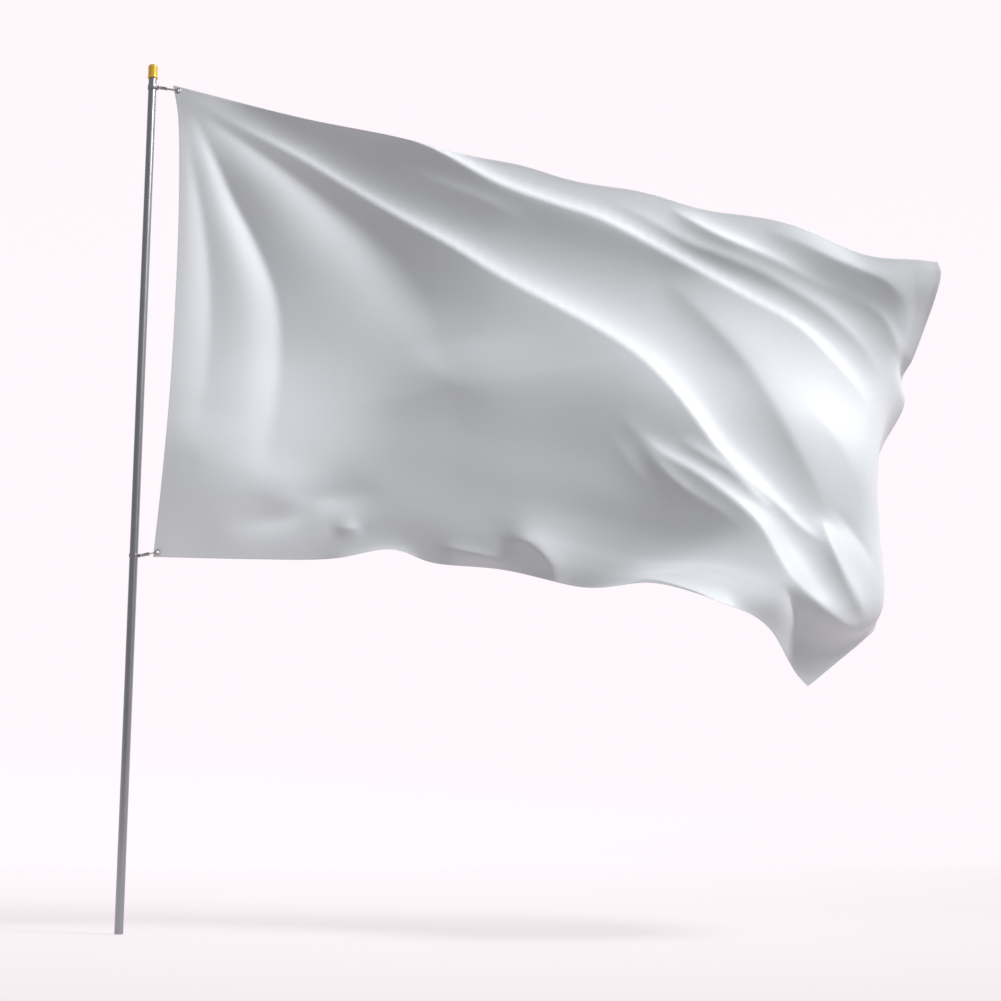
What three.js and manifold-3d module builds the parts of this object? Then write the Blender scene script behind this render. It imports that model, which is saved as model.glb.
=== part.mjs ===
// A satin flag flying from a plain metal pole.
// Millimetres, Z up. The pole stands on X = 0, Y = 0 with its foot at Z = 0.
// The flag flies towards +X. It is seen from the -Y side, so a fold that rises comes towards -Y.
import * as THREE from "three";
import { mergeVertices } from "three/addons/utils/BufferGeometryUtils.js";
import Module from "manifold-3d";

const wasm = await Module();
wasm.setup();

// Driving sizes of the cloth as it is cut
const FLAG_LENGTH = 2500;
const FLAG_DROP = 1500;
const CLOTH_THICKNESS = 2;
const CLOTH_COLUMNS = 62;
const CLOTH_ROWS = 36;
const COLUMN_CROWDING = 1.2; // above 1 the columns stand closer together towards the fly end

// Driving sizes of the pole and its cap
const POLE_RADIUS = 12.5;
const POLE_TOP = 2625;
const CAP_FOOT = 2612;
const CAP_TOP = 2658;
const CAP_RIM_RADIUS = 16.3;
const CAP_BODY_RADIUS = 15.2;

// Driving sizes of the fittings
const SEAT_GAP = 0.3; // left between two pieces that touch
const EYELET_HOLE_RADIUS = 4.5;
const EYELET_BARREL_RADIUS = 6;
const EYELET_FLANGE_RADIUS = 8;
const EYELET_FLANGE_THICKNESS = 0.9;
const EYELET_INSET = 15; // from each cut edge to the eyelet's centre
const COLLAR_WALL = 1.8;
const LUG_LENGTH = 6;
const LUG_WIDTH = 5;
const BARREL_LENGTH = 27;
const BARREL_RADIUS = 5.2;
const NECK_RADIUS = 2.6;
const WIRE_RADIUS = 1.5;
const WIRE_BEND_RADIUS = 5;
const POLE_SIDES = 40;
const SMALL_SIDES = 24;
const WIRE_STEPS = 30;

// The flag's long edges, a row for each rise and dip of the edge
const topEdge = [
  { x: 65, y: 0, z: 2590 },
  { x: 475, y: 0, z: 2480 },
  { x: 790, y: -15, z: 2408 },
  { x: 980, y: -10, z: 2355 },
  { x: 1180, y: 0, z: 2320 },
  { x: 1280, y: 0, z: 2283 },
  { x: 1380, y: 0, z: 2260 },
  { x: 1530, y: 0, z: 2239 },
  { x: 1630, y: 0, z: 2208 },
  { x: 1730, y: 0, z: 2175 },
  { x: 1905, y: 0, z: 2152 },
  { x: 2010, y: 0, z: 2127 },
  { x: 2105, y: 0, z: 2085 },
  { x: 2190, y: -10, z: 2037 },
  { x: 2261, y: -35, z: 2006 },
  { x: 2338, y: -55, z: 2001 },
  { x: 2427, y: -60, z: 1990 },
];
const bottomEdge = [
  { x: 58, y: 0, z: 1092 },
  { x: 375, y: 25, z: 1088 },
  { x: 600, y: 20, z: 1089 },
  { x: 750, y: -5, z: 1117 },
  { x: 810, y: -15, z: 1110 },
  { x: 870, y: -30, z: 1072 },
  { x: 1095, y: -70, z: 1046 },
  { x: 1225, y: -110, z: 1011 },
  { x: 1345, y: -150, z: 979 },
  { x: 1445, y: -190, z: 984 },
  { x: 1515, y: -220, z: 991 },
  { x: 1640, y: -270, z: 954 },
  { x: 1725, y: -300, z: 916 },
  { x: 1806, y: -310, z: 884 },
  { x: 1864, y: -300, z: 826 },
  { x: 1897, y: -300, z: 744 },
  { x: 1944, y: -300, z: 690 },
];

// Three lines down the flag: the hoist, the line where the cloth turns away, and the fly edge
const TURN_SHARE = 0.92; // how far along the cloth the turn lies
const hoistLine = [
  { x: 65, y: 0, z: 2590 },
  { x: 85, y: -5, z: 2490 },
  { x: 99, y: -25, z: 2305 },
  { x: 105, y: -35, z: 2044 },
  { x: 98, y: -30, z: 1650 },
  { x: 80, y: -15, z: 1350 },
  { x: 58, y: 0, z: 1092 },
];
const turnLine = [
  { x: 2231, y: -24, z: 2018 },
  { x: 2308, y: -60, z: 1870 },
  { x: 2300, y: -70, z: 1757 },
  { x: 2273, y: -90, z: 1644 },
  { x: 2237, y: -130, z: 1512 },
  { x: 2205, y: -200, z: 1330 },
  { x: 2191, y: -260, z: 1106 },
  { x: 2184, y: -300, z: 989 },
  { x: 2165, y: -320, z: 909 },
  { x: 2110, y: -330, z: 860 },
  { x: 2030, y: -330, z: 845 },
  { x: 1950, y: -320, z: 842 },
  { x: 1860, y: -301, z: 832 },
];
const flyLine = [
  { x: 2427, y: -60, z: 1990 },
  { x: 2436, y: -60, z: 1955 },
  { x: 2422, y: -55, z: 1895 },
  { x: 2390, y: -35, z: 1802 },
  { x: 2348, y: -10, z: 1692 },
  { x: 2324, y: 20, z: 1645 },
  { x: 2330, y: 30, z: 1566 },
  { x: 2263, y: 60, z: 1437 },
  { x: 2216, y: 90, z: 1311 },
  { x: 2186, y: 90, z: 1156 },
  { x: 2176, y: 40, z: 1028 },
  { x: 2173, y: -60, z: 927 },
  { x: 2169, y: -170, z: 869 },
  { x: 2118, y: -250, z: 826 },
  { x: 2020, y: -290, z: 750 },
  { x: 1944, y: -300, z: 690 },
];

// Broad billows: how far the wind pushes the cloth away from the viewer, and over what reach
const billows = [
  { along: 650, down: 750, reachAlong: 550, reachDown: 600, push: 45 },
  { along: 1850, down: 850, reachAlong: 420, reachDown: 420, push: -50 },
  { along: 2200, down: 0, reachAlong: 400, reachDown: 300, push: -60 },
  { along: 950, down: 1050, reachAlong: 400, reachDown: 450, push: 30 },
  { along: 2050, down: 1500, reachAlong: 600, reachDown: 380, push: -35 },
];

// Folds: the crest's way over the flag as seen from the front, in X and Z, its rise along the way,
// its width on the upper and the lower side at the start and the end, and how round the crest is.
// A fold whose rise is negative is a groove.
const folds = [
  {
    name: "upper tension line",
    crest: [[165, 2570], [465, 2485], [780, 2415], [905, 2365], [1095, 2260], [1280, 2190],
      [1405, 2145], [1555, 2060], [1705, 1970], [1850, 1880], [1995, 1785], [2105, 1655],
      [2175, 1535], [2185, 1420]],
    rise: [0, 15, 21, 27, 28, 28, 24, 16, 12, 0],
    above: [18, 24],
    below: [40, 240],
    round: 0.15,
  },
  {
    name: "middle tension line",
    crest: [[120, 2550], [200, 2495], [285, 2446], [470, 2345], [625, 2245], [785, 2145],
      [940, 2055], [1095, 1955], [1245, 1870], [1395, 1780], [1512, 1692], [1600, 1591],
      [1674, 1478], [1725, 1393], [1805, 1298], [1880, 1218], [1930, 1145], [1965, 1090]],
    rise: [0, 10, 18, 24, 28, 34, 44, 50, 36, 0],
    above: [48, 78],
    below: [300, 1100],
    round: 0.12,
  },
  {
    name: "lower fold to the corner",
    crest: [[1505, 1450], [1560, 1390], [1670, 1315], [1775, 1220], [1835, 1150], [1875, 1065],
      [1925, 970], [2005, 890], [2075, 835]],
    rise: [0, 20, 30, 42, 62, 66, 54, 34],
    above: [20, 55],
    below: [400, 700],
    round: 0.15,
  },
  {
    name: "soft swell of the billow",
    crest: [[1580, 1965], [1725, 1820], [1835, 1675], [1890, 1565], [1932, 1465], [1982, 1340],
      [2015, 1245], [2035, 1130]],
    rise: [0, 16, 28, 32, 34, 30, 18, 0],
    above: [150, 260],
    below: [80, 80],
    round: 0.25,
  },
  {
    name: "small fold beside the corner fold",
    crest: [[2000, 1180], [2030, 1080], [2065, 980], [2095, 905], [2105, 845]],
    rise: [0, 24, 30, 24, 0],
    above: [20, 28],
    below: [50, 60],
    round: 0.25,
  },
  {
    name: "crease into the lower corner",
    crest: [[1880, 985], [1905, 910], [1915, 845], [1900, 750]],
    rise: [0, -36, -48, -36],
    above: [110, 110],
    below: [28, 28],
    round: 0.2,
  },
  {
    name: "fold behind the upper line",
    crest: [[1605, 2188], [1680, 2145], [1770, 2092], [1860, 2048], [1945, 2003], [2065, 1930],
      [2155, 1890], [2245, 1830], [2285, 1755], [2305, 1665], [2310, 1575]],
    rise: [0, 20, 26, 14, 6, 2, 2, 6, 6, 0],
    above: [20, 26],
    below: [80, 60],
    round: 0.2,
  },
  {
    name: "mild fold behind the upper line",
    crest: [[1375, 2230], [1465, 2190], [1555, 2140], [1675, 2065], [1765, 2025], [1885, 1970],
      [2005, 1895], [2090, 1830], [2175, 1735], [2220, 1640], [2215, 1540]],
    rise: [0, 8, 8, 8, 0],
    above: [25, 30],
    below: [35, 40],
    round: 0.4,
  },
  {
    name: "fold under the upper fly corner",
    crest: [[1895, 2120], [2015, 2070], [2110, 2020], [2185, 1985], [2260, 1945], [2310, 1890],
      [2335, 1830]],
    rise: [0, 6, 12, 18, 18, 10, 0],
    above: [70, 80],
    below: [70, 80],
    round: 0.15,
  },
  {
    name: "groove beside the hoist",
    crest: [[105, 2500], [125, 2395], [152, 2270], [178, 2150], [205, 1990], [218, 1830],
      [218, 1700], [205, 1560], [165, 1400]],
    rise: [0, -6, -26, -46, -56, -50, -28, 0],
    above: [60, 500],
    below: [15, 90],
    round: 0.5,
  },
  {
    name: "second groove from the upper eyelet",
    crest: [[110, 2535], [155, 2455], [205, 2350], [270, 2210], [345, 2065], [405, 1925],
      [430, 1800], [435, 1680], [430, 1580], [415, 1460], [380, 1280]],
    rise: [0, -16, -42, -64, -75, -78, -74, -55, -28, 0],
    above: [120, 1100],
    below: [18, 85],
    round: 0.8,
  },
  {
    name: "third groove from the upper eyelet",
    crest: [[130, 2535], [185, 2480], [305, 2395], [455, 2290], [590, 2190], [715, 2090],
      [820, 1970], [895, 1840], [930, 1700], [945, 1600]],
    rise: [0, -16, -42, -72, -96, -102, -88, -50, 0],
    above: [200, 2400],
    below: [22, 190],
    round: 0.8,
  },
  {
    name: "shallow dip above the lower hem",
    crest: [[240, 1175], [370, 1200], [475, 1220], [535, 1260], [625, 1275], [765, 1295]],
    rise: [0, -18, -18, 0],
    above: [60, 70],
    below: [40, 45],
    round: 0.6,
  },
  {
    name: "left flare of the lower hem",
    crest: [[560, 1075], [690, 1095], [760, 1100], [810, 1090], [870, 1050]],
    rise: [0, 16, 24, 16, 0],
    above: [25, 25],
    below: [25, 25],
    round: 0.3,
  },
  {
    name: "under-turn of the lower hem",
    crest: [[880, 1060], [1000, 1045], [1100, 1025], [1220, 990]],
    rise: [0, -24, -26, 0],
    above: [30, 30],
    below: [30, 30],
    round: 0.3,
  },
  {
    name: "small pucker at the lower hem",
    crest: [[1095, 1120], [1165, 1125], [1210, 1095], [1240, 1050], [1250, 1005]],
    rise: [0, 24, 30, 24],
    above: [50, 60],
    below: [35, 40],
    round: 0.4,
  },
  {
    name: "right flare of the lower hem",
    crest: [[1300, 950], [1390, 945], [1460, 958], [1520, 965], [1635, 935], [1712, 888],
      [1775, 850], [1825, 800], [1862, 735]],
    rise: [0, 18, 34, 50, 60, 62, 58, 48, 24],
    above: [35, 90],
    below: [80, 80],
    round: 0.1,
  },
  {
    name: "last run of the middle line",
    crest: [[1850, 1250], [1905, 1195], [1945, 1145], [1985, 1110], [2025, 1090]],
    rise: [0, 6, 7, 0],
    above: [14, 14],
    below: [30, 30],
    round: 0.2,
  },
  {
    name: "second swell of the billow",
    crest: [[1960, 1560], [2050, 1450], [2110, 1330], [2140, 1200]],
    rise: [0, 5, 5, 0],
    above: [40, 50],
    below: [50, 50],
    round: 0.4,
  },
];
const CREST_STEPS = 60;
const BLEND_START = 4; // how much further than the nearest part of a crest still counts
const BLEND_SHARE = 0.2; // and by what share of the distance that grows away from the crest
const WELD_DISTANCE = 1e-4; // corners nearer than this are one corner
const CALM_REACH = 90; // folds and billows fade out this near to an eyelet

// Pole fittings: the height of each collar on the pole, and its band's height
const fittings = [
  { name: "upper", collarZ: 2582, collarHeight: 14, cornerDown: EYELET_INSET },
  { name: "lower", collarZ: 1096, collarHeight: 10, cornerDown: FLAG_DROP - EYELET_INSET },
];

const satin = new THREE.MeshStandardMaterial({ color: 0xd6d7da, roughness: 0.45, metalness: 0 });
const satinSteel = new THREE.MeshStandardMaterial({ color: 0x8d9094, roughness: 0.35, metalness: 1 });
const gold = new THREE.MeshStandardMaterial({ color: 0xc8963a, roughness: 0.25, metalness: 1 });
const nickel = new THREE.MeshStandardMaterial({ color: 0xa9abae, roughness: 0.3, metalness: 1 });

// A smooth curve through a table's points. Its parameter runs from 0 to 1 with the distance covered.
function smoothCurve(points) {
  const knots = [0];
  for (let i = 1; i < points.length; i += 1) {
    knots.push(knots[i - 1] + points[i].distanceTo(points[i - 1]));
  }
  const length = knots[knots.length - 1];
  const share = knots.map((knot) => knot / length);
  const last = points.length - 1;
  const slopes = points.map((point, i) => {
    const before = Math.max(i - 1, 0);
    const after = Math.min(i + 1, last);
    return points[after].clone().sub(points[before]).divideScalar(share[after] - share[before]);
  });
  return (t) => {
    let i = 0;
    while (i < last - 1 && t > share[i + 1]) i += 1;
    const span = share[i + 1] - share[i];
    const s = (t - share[i]) / span;
    const startWeight = 2 * s ** 3 - 3 * s ** 2 + 1;
    const startSlope = (s ** 3 - 2 * s ** 2 + s) * span;
    const endSlope = (s ** 3 - s ** 2) * span;
    return points[i].clone().multiplyScalar(startWeight)
      .addScaledVector(slopes[i], startSlope)
      .addScaledVector(points[i + 1], 1 - startWeight)
      .addScaledVector(slopes[i + 1], endSlope);
  };
}

const fromRows = (rows) => smoothCurve(rows.map((row) => new THREE.Vector3(row.x, row.y, row.z)));
const edge = { top: fromRows(topEdge), bottom: fromRows(bottomEdge) };
const lines = [
  { share: 0, curve: fromRows(hoistLine) },
  { share: TURN_SHARE, curve: fromRows(turnLine) },
  { share: 1, curve: fromRows(flyLine) },
];

// How much each of the three lines counts at a place along the cloth
function lineWeights(along) {
  const toTurn = Math.min(along / TURN_SHARE, 1);
  const pastTurn = Math.max((along - TURN_SHARE) / (1 - TURN_SHARE), 0);
  return [1 - toTurn, toTurn - pastTurn, pastTurn];
}

// The sheet stretched between its edges and lines, before billows and folds
function stretched(along, down) {
  const point = edge.top(along).multiplyScalar(1 - down).addScaledVector(edge.bottom(along), down);
  lineWeights(along).forEach((weight, i) => {
    const { share, curve } = lines[i];
    point.addScaledVector(curve(down), weight);
    point.addScaledVector(edge.top(share), -weight * (1 - down));
    point.addScaledVector(edge.bottom(share), -weight * down);
  });
  return point;
}

// The same, averaged over a short way along the cloth so that no line shows as a crease
const AVERAGE_REACH = 0.035;
const AVERAGE_STEPS = 4;
function softened(along, down) {
  const reach = Math.min(AVERAGE_REACH, along, 1 - along);
  const sum = new THREE.Vector3();
  let total = 0;
  for (let k = -AVERAGE_STEPS; k <= AVERAGE_STEPS; k += 1) {
    const weight = AVERAGE_STEPS + 1 - Math.abs(k);
    sum.addScaledVector(stretched(along + (reach * k) / AVERAGE_STEPS, down), weight);
    total += weight;
  }
  return sum.divideScalar(total);
}

// A value from a short list that stands evenly over 0 to 1, joined smoothly and level at both ends
function spread(values, share) {
  const last = values.length - 1;
  const row = [values[1], ...values, values[last - 1]];
  const i = Math.min(Math.floor(share * last), last - 1);
  const s = share * last - i;
  const startWeight = 2 * s ** 3 - 3 * s ** 2 + 1;
  const startSlope = (row[i + 2] - row[i]) / 2;
  const endSlope = (row[i + 3] - row[i + 1]) / 2;
  return startWeight * row[i + 1] + (s ** 3 - 2 * s ** 2 + s) * startSlope
    + (1 - startWeight) * row[i + 2] + (s ** 3 - s ** 2) * endSlope;
}

const crests = folds.map((fold) => {
  const way = smoothCurve(fold.crest.map(([x, z]) => new THREE.Vector3(x, 0, z)));
  return Array.from({ length: CREST_STEPS }, (_, i) => way(i / (CREST_STEPS - 1)));
});

// How far a fold stands out at a point of the sheet. Inside a bend many parts of the crest are
// about as near, so their places are averaged, and beyond its ends its sides run into each other.
function foldRise(fold, crest, point) {
  const parts = [];
  const last = crest.length - 2;
  let nearest = Infinity;
  let side = 0;
  for (let i = 0; i < crest.length - 1; i += 1) {
    const stepX = crest[i + 1].x - crest[i].x;
    const stepZ = crest[i + 1].z - crest[i].z;
    const fromX = point.x - crest[i].x;
    const fromZ = point.z - crest[i].z;
    const onStep = (fromX * stepX + fromZ * stepZ) / (stepX ** 2 + stepZ ** 2);
    const share = THREE.MathUtils.clamp(onStep, 0, 1);
    const distance = Math.hypot(fromX - share * stepX, fromZ - share * stepZ);
    parts.push({ distance, place: (i + share) / (crest.length - 1) });
    if (distance < nearest) {
      const across = (stepX * fromZ - stepZ * fromX) / Math.hypot(stepX, stepZ);
      const beyond = (i === 0 && share === 0) || (i === last && share === 1);
      side = beyond ? across / distance : Math.sign(across);
      nearest = distance;
    }
  }
  let total = 0;
  let placeSum = 0;
  let distanceSum = 0;
  parts.forEach(({ distance, place }) => {
    const weight = Math.exp((nearest - distance) / (BLEND_START + BLEND_SHARE * nearest));
    total += weight;
    placeSum += weight * place;
    distanceSum += weight * distance;
  });
  const place = placeSum / total;
  const width = spread(fold.above, place) * ((1 + side) / 2)
    + spread(fold.below, place) * ((1 - side) / 2);
  const fall = Math.hypot(distanceSum / total / width, fold.round) - fold.round;
  return spread(fold.rise, place) * Math.exp(-fall);
}

// Billows and folds move the cloth along the line of sight, so the outline stays as it is drawn
const viewer = new THREE.Vector3(1096, -4737, 436);

// A point of the flying cloth, from its place along and down the flat cloth in millimetres
function clothPoint(alongMm, downMm) {
  const point = softened(alongMm / FLAG_LENGTH, downMm / FLAG_DROP);
  let push = 0;
  billows.forEach((billow) => {
    const across = (alongMm - billow.along) / billow.reachAlong;
    const below = (downMm - billow.down) / billow.reachDown;
    push += billow.push * Math.exp(-(across ** 2) - below ** 2);
  });
  folds.forEach((fold, i) => {
    push -= foldRise(fold, crests[i], point);
  });
  const toEyelet = Math.min(...fittings.map((fitting) => (
    Math.hypot(alongMm - EYELET_INSET, downMm - fitting.cornerDown))));
  push *= 1 - Math.exp(-((toEyelet / CALM_REACH) ** 2));
  const sight = point.clone().sub(viewer);
  return point.addScaledVector(sight, push / sight.y);
}

function geometryOf(points, triangles) {
  const geometry = new THREE.BufferGeometry();
  const flat = points.flatMap((point) => [point.x, point.y, point.z]);
  geometry.setAttribute("position", new THREE.Float32BufferAttribute(flat, 3));
  geometry.setIndex(triangles);
  return geometry;
}

// The flag's sheet: a front and a back skin joined round the rim
function sheetGeometry(middle) {
  const columns = CLOTH_COLUMNS + 1;
  const rows = CLOTH_ROWS + 1;
  const at = (column, row) => middle[row * columns + column];
  const front = [];
  const back = [];
  for (let row = 0; row < rows; row += 1) {
    for (let column = 0; column < columns; column += 1) {
      const alongStep = at(Math.min(column + 1, columns - 1), row).clone()
        .sub(at(Math.max(column - 1, 0), row));
      const downStep = at(column, Math.min(row + 1, rows - 1)).clone()
        .sub(at(column, Math.max(row - 1, 0)));
      const normal = downStep.cross(alongStep).normalize();
      front.push(at(column, row).clone().addScaledVector(normal, CLOTH_THICKNESS / 2));
      back.push(at(column, row).clone().addScaledVector(normal, -CLOTH_THICKNESS / 2));
    }
  }
  const count = columns * rows;
  const triangles = [];
  const square = (a, b, c, d) => triangles.push(a, b, c, a, c, d);
  for (let row = 0; row < CLOTH_ROWS; row += 1) {
    for (let column = 0; column < CLOTH_COLUMNS; column += 1) {
      const corner = row * columns + column;
      square(corner, corner + columns, corner + columns + 1, corner + 1);
      square(count + corner, count + corner + 1, count + corner + columns + 1, count + corner + columns);
    }
  }
  for (let column = 0; column < CLOTH_COLUMNS; column += 1) {
    const low = CLOTH_ROWS * columns + column;
    square(column, column + 1, count + column + 1, count + column);
    square(low, count + low, count + low + 1, low + 1);
  }
  for (let row = 0; row < CLOTH_ROWS; row += 1) {
    const left = row * columns;
    const right = left + CLOTH_COLUMNS;
    square(left, count + left, count + left + columns, left + columns);
    square(right, right + columns, count + right + columns, count + right);
  }
  return geometryOf([...front, ...back], triangles);
}

// Where an eyelet sits in the corner square of the sheet that holds it
function eyeletSeat(middle, cornerDown) {
  const columns = CLOTH_COLUMNS + 1;
  const row = Math.min(Math.floor((cornerDown / FLAG_DROP) * CLOTH_ROWS), CLOTH_ROWS - 1);
  const corner = row * columns;
  const [a, b, c, d] = [corner, corner + 1, corner + columns, corner + columns + 1]
    .map((i) => middle[i]);
  const across = EYELET_INSET / columnPlace(1);
  const downShare = (cornerDown / FLAG_DROP) * CLOTH_ROWS - row;
  const upper = a.clone().lerp(b, across);
  const lower = c.clone().lerp(d, across);
  const centre = upper.lerp(lower, downShare);
  const facing = c.clone().sub(b).cross(d.clone().sub(a)).normalize();
  return { centre, facing };
}

function columnPlace(column) {
  return FLAG_LENGTH * (1 - (1 - column / CLOTH_COLUMNS) ** COLUMN_CROWDING);
}

function solidOf(geometry) {
  const bare = geometry.clone();
  bare.deleteAttribute("normal");
  bare.deleteAttribute("uv");
  const merged = mergeVertices(bare, WELD_DISTANCE);
  return new wasm.Manifold(new wasm.Mesh({
    numProp: 3,
    vertProperties: Float32Array.from(merged.attributes.position.array),
    triVerts: Uint32Array.from(merged.index.array),
  }));
}

function geometryOfSolid(solid) {
  const mesh = solid.getMesh();
  const geometry = new THREE.BufferGeometry();
  geometry.setAttribute("position", new THREE.Float32BufferAttribute(mesh.vertProperties, 3));
  geometry.setIndex(Array.from(mesh.triVerts));
  return geometry;
}

// A solid of revolution about Z from rows of radius and height, the last row joined to the first
function turned(rows, sides) {
  const profile = [...rows, rows[0]].map(([radius, height]) => new THREE.Vector2(radius, height));
  return new THREE.LatheGeometry(profile, sides).rotateX(Math.PI / 2);
}

const standing = (direction) => (
  new THREE.Quaternion().setFromUnitVectors(new THREE.Vector3(0, 0, 1), direction));

function named(name, geometry, material) {
  const mesh = new THREE.Mesh(geometry, material);
  mesh.name = name;
  return mesh;
}

// A two-sided metal eyelet clamped round the cloth
function eyeletRows(barrelRadius, flangeRadius, innerRadius, clothHalf, outerHalf) {
  return [
    [innerRadius, -outerHalf],
    [flangeRadius, -outerHalf],
    [flangeRadius, -clothHalf],
    [barrelRadius, -clothHalf],
    [barrelRadius, clothHalf],
    [flangeRadius, clothHalf],
    [flangeRadius, outerHalf],
    [innerRadius, outerHalf],
  ];
}
const FLANGE_FOOT = CLOTH_THICKNESS / 2 + SEAT_GAP;
const FLANGE_FACE = FLANGE_FOOT + EYELET_FLANGE_THICKNESS;

function eyeletGeometry() {
  const rows = eyeletRows(
    EYELET_BARREL_RADIUS, EYELET_FLANGE_RADIUS, EYELET_HOLE_RADIUS, FLANGE_FOOT, FLANGE_FACE);
  return turned(rows, SMALL_SIDES);
}

// What an eyelet needs clear in the cloth
function eyeletRoomGeometry() {
  const rows = eyeletRows(
    EYELET_BARREL_RADIUS + SEAT_GAP, EYELET_FLANGE_RADIUS + SEAT_GAP, 0,
    CLOTH_THICKNESS / 2, FLANGE_FACE + SEAT_GAP);
  return turned(rows, SMALL_SIDES);
}

// A band round the pole with a lug that points along X
function collarGeometry(height) {
  const inner = POLE_RADIUS + SEAT_GAP;
  const outer = inner + COLLAR_WALL;
  const lugAngle = Math.asin(LUG_WIDTH / 2 / outer);
  const outline = new THREE.Shape();
  outline.absarc(0, 0, outer, lugAngle, 2 * Math.PI - lugAngle, false);
  outline.lineTo(outer + LUG_LENGTH, -LUG_WIDTH / 2);
  outline.lineTo(outer + LUG_LENGTH, LUG_WIDTH / 2);
  outline.closePath();
  const hole = new THREE.Path();
  hole.absarc(0, 0, inner, 0, 2 * Math.PI, true);
  outline.holes.push(hole);
  const geometry = new THREE.ExtrudeGeometry(outline, {
    depth: height, bevelEnabled: false, curveSegments: POLE_SIDES / 2,
  });
  return geometry.translate(0, 0, -height / 2);
}

// The swivel body of a snap hook, from its neck at the lug to its shoulder at the wire
function barrelGeometry() {
  const rows = [
    [0, 0],
    [NECK_RADIUS, 0],
    [NECK_RADIUS, 2],
    [BARREL_RADIUS, 3],
    [BARREL_RADIUS, BARREL_LENGTH - 1],
    [BARREL_RADIUS - 0.7, BARREL_LENGTH],
    [0, BARREL_LENGTH],
  ];
  return turned(rows, SMALL_SIDES);
}

// The hook's bent wire: out from the barrel, through the eyelet and back
function wireGeometry(barrelEnd, seat) {
  const toEyelet = seat.centre.clone().sub(barrelEnd).normalize();
  const sideways = seat.facing.clone().addScaledVector(toEyelet, -seat.facing.dot(toEyelet)).normalize();
  const apexSetback = 1.4; // the wire bears on the pole side of the eyelet's hole
  const bendCentre = seat.centre.clone().addScaledVector(toEyelet, -apexSetback - WIRE_BEND_RADIUS);
  const legAtBarrel = 2.8;
  const start = barrelEnd.clone().addScaledVector(toEyelet, SEAT_GAP);
  const points = [start.clone().addScaledVector(sideways, legAtBarrel)];
  const bendSteps = 8;
  for (let i = 0; i <= bendSteps; i += 1) {
    const angle = Math.PI * (0.5 - i / bendSteps);
    points.push(bendCentre.clone()
      .addScaledVector(toEyelet, WIRE_BEND_RADIUS * Math.cos(angle))
      .addScaledVector(sideways, WIRE_BEND_RADIUS * Math.sin(angle)));
  }
  points.push(start.clone().addScaledVector(sideways, -legAtBarrel));
  const section = new THREE.Shape();
  section.absarc(0, 0, WIRE_RADIUS, 0, 2 * Math.PI, false);
  return new THREE.ExtrudeGeometry(section, {
    steps: WIRE_STEPS,
    curveSegments: SMALL_SIDES / 4,
    extrudePath: new THREE.CatmullRomCurve3(points),
  });
}

function makePole() {
  const geometry = new THREE.CylinderGeometry(POLE_RADIUS, POLE_RADIUS, POLE_TOP, POLE_SIDES)
    .rotateX(Math.PI / 2);
  const pole = named("pole", geometry, satinSteel);
  pole.position.z = POLE_TOP / 2;
  return pole;
}

// The cap on the pole's top, with a socket that fits over the pole
function makeCap() {
  const socket = POLE_RADIUS + SEAT_GAP;
  const socketTop = POLE_TOP + SEAT_GAP - CAP_FOOT;
  const height = CAP_TOP - CAP_FOOT;
  const rows = [
    [socket, 0],
    [CAP_RIM_RADIUS - 0.8, 0],
    [CAP_RIM_RADIUS, 1],
    [CAP_RIM_RADIUS, 3.5],
    [CAP_BODY_RADIUS, 5.5],
    [CAP_BODY_RADIUS, height - 8],
    [CAP_BODY_RADIUS - 1.5, height - 4],
    [CAP_BODY_RADIUS - 5, height - 1],
    [0, height],
    [0, socketTop],
    [socket, socketTop],
  ];
  const cap = named("pole_cap", turned(rows, POLE_SIDES), gold);
  cap.position.z = CAP_FOOT;
  return cap;
}

const flagOnPole = new THREE.Group();
flagOnPole.add(makePole(), makeCap());

const middle = [];
for (let row = 0; row <= CLOTH_ROWS; row += 1) {
  for (let column = 0; column <= CLOTH_COLUMNS; column += 1) {
    middle.push(clothPoint(columnPlace(column), (row / CLOTH_ROWS) * FLAG_DROP));
  }
}

let cloth = solidOf(sheetGeometry(middle));
fittings.forEach(({ name, collarZ, collarHeight, cornerDown }) => {
  const seat = eyeletSeat(middle, cornerDown);
  const turn = standing(seat.facing);
  const room = eyeletRoomGeometry().applyQuaternion(turn)
    .translate(seat.centre.x, seat.centre.y, seat.centre.z);
  cloth = cloth.subtract(solidOf(room));

  const eyelet = named(`eyelet_${name}`, eyeletGeometry(), nickel);
  eyelet.quaternion.copy(turn);
  eyelet.position.copy(seat.centre);

  const collar = named(`collar_${name}`, collarGeometry(collarHeight), nickel);
  collar.position.z = collarZ;

  const lugEnd = POLE_RADIUS + SEAT_GAP + COLLAR_WALL + LUG_LENGTH;
  const lug = new THREE.Vector3(lugEnd, 0, collarZ);
  const direction = seat.centre.clone().sub(lug).normalize();
  const barrelStart = lug.clone().addScaledVector(direction, SEAT_GAP * 2);
  const barrel = named(`hook_barrel_${name}`, barrelGeometry(), nickel);
  barrel.quaternion.copy(standing(direction));
  barrel.position.copy(barrelStart);

  const barrelEnd = barrelStart.clone().addScaledVector(direction, BARREL_LENGTH);
  const wire = named(`hook_wire_${name}`, wireGeometry(barrelEnd, seat), nickel);
  flagOnPole.add(eyelet, collar, barrel, wire);
});
flagOnPole.add(named("flag_cloth", geometryOfSolid(cloth), satin));

export default flagOnPole;
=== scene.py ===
# %% [markdown]
# # A satin flag on its pole
# The real thing is one panel of thin white satin, held at two corners by eyelets and snap hooks,
# and flying from a slim metal pole. Wind and weight fold it, and satin shows every fold as a
# bright crest beside a grey flank. So the work goes into the folds first and the sheen second.
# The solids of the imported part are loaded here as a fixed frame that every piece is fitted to.

# %% Load the fixed frame
import math

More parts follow.
